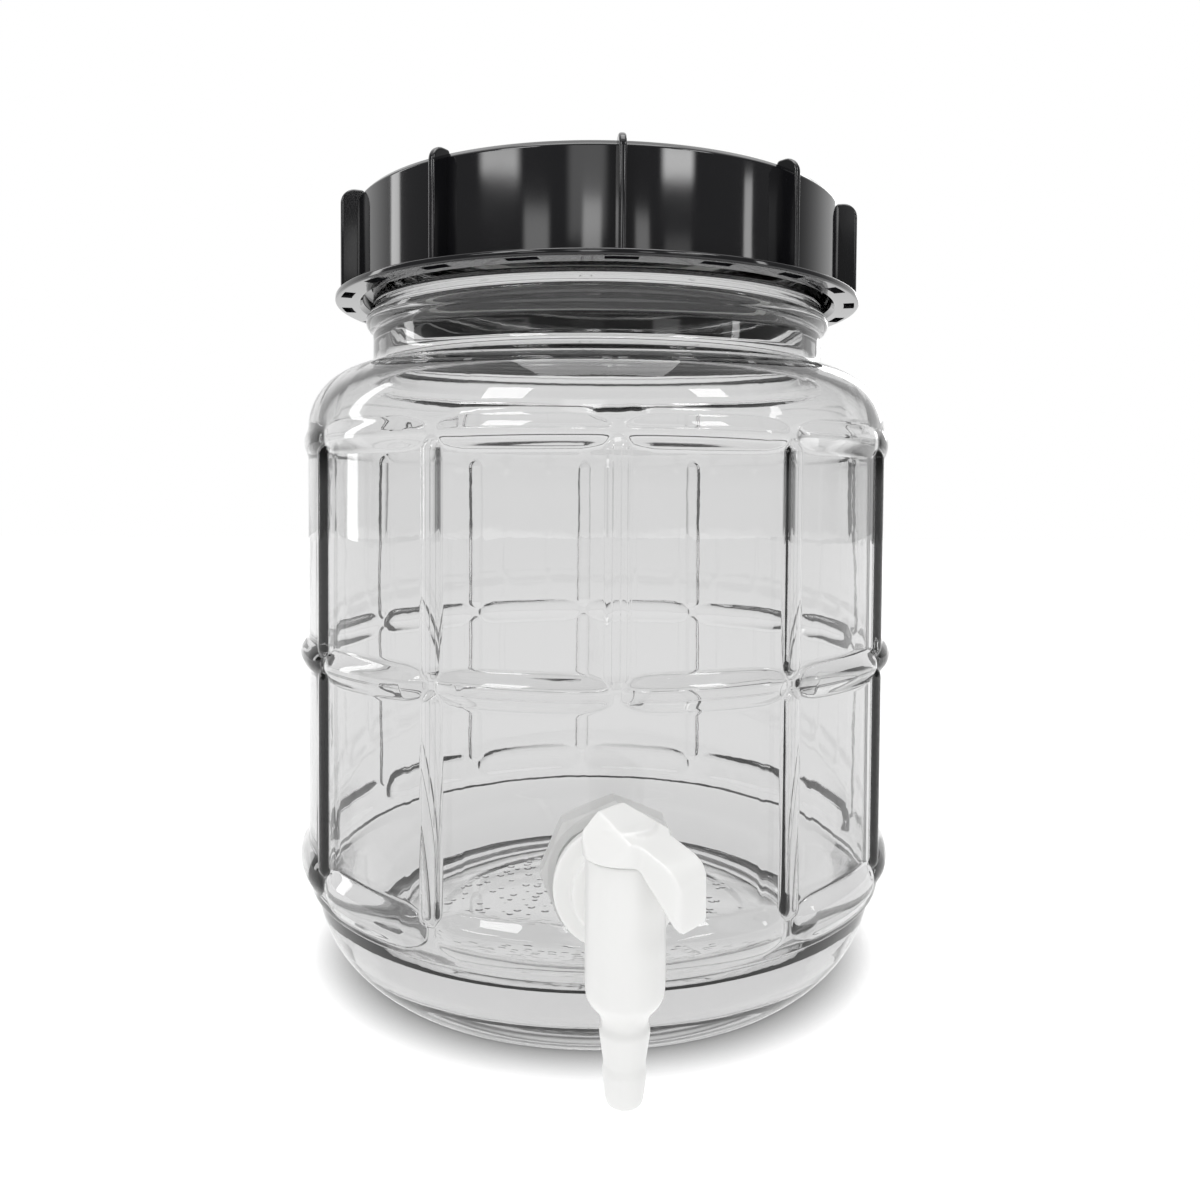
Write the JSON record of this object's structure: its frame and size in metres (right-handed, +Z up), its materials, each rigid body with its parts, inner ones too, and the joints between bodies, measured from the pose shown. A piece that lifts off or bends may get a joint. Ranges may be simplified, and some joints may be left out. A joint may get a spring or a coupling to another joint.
{
  "type": "wide mouth glass carboy with spigot",
  "caption": "Upright clear glass jar with bands and ribs pressed into its wall, a finned black screw lid on a wide neck, and a white lever tap with a barbed outlet low on one side.",
  "frame": {"origin": "where the jar's axis meets the surface that the jar stands on", "axes": "+Z up along the jar's axis, -Y from that axis towards the tap, +X to the right as the tap is looked at"},
  "size_m": [0.1952, 0.2371, 0.2435],
  "materials": {
    "clear_glass": "clear, fire polished",
    "black_plastic": "gloss",
    "seal_foam": "matte",
    "white_plastic": "satin, slightly see-through",
    "nut_plastic": "satin, slightly see-through",
    "washer_rubber": "matte"
  },
  "bodies": {
    "jar": {"jar": "clear_glass", "tap_body": "white_plastic", "outer_washer": "washer_rubber", "inner_washer": "washer_rubber", "lock_nut": "nut_plastic"},
    "lid_seal": {"lid_seal": "seal_foam"},
    "lid": {"lid": "black_plastic"},
    "handle": {"tap_handle": "white_plastic"}
  },
  "joints": [
    {"name": "lid_lift", "type": "slide", "parent": "jar", "child": "lid_seal", "axis": [0, 0, 1], "range_m": [0, 0.032]},
    {"name": "lid_turn", "type": "hinge", "parent": "lid_seal", "child": "lid", "pos_m": [0, 0, 0.24], "axis": [0, 0, 1], "range_deg": [0, 1440]},
    {"name": "handle_turn", "type": "hinge", "parent": "jar", "child": "handle", "pos_m": [0, -0.1235, 0.07], "axis": [0, 0, 1], "range_deg": [-47, 43]}
  ],
  "couplings": [
    {"joint": "lid_turn", "follows": "lid_lift", "rad_per_m": 785.39}
  ]
}
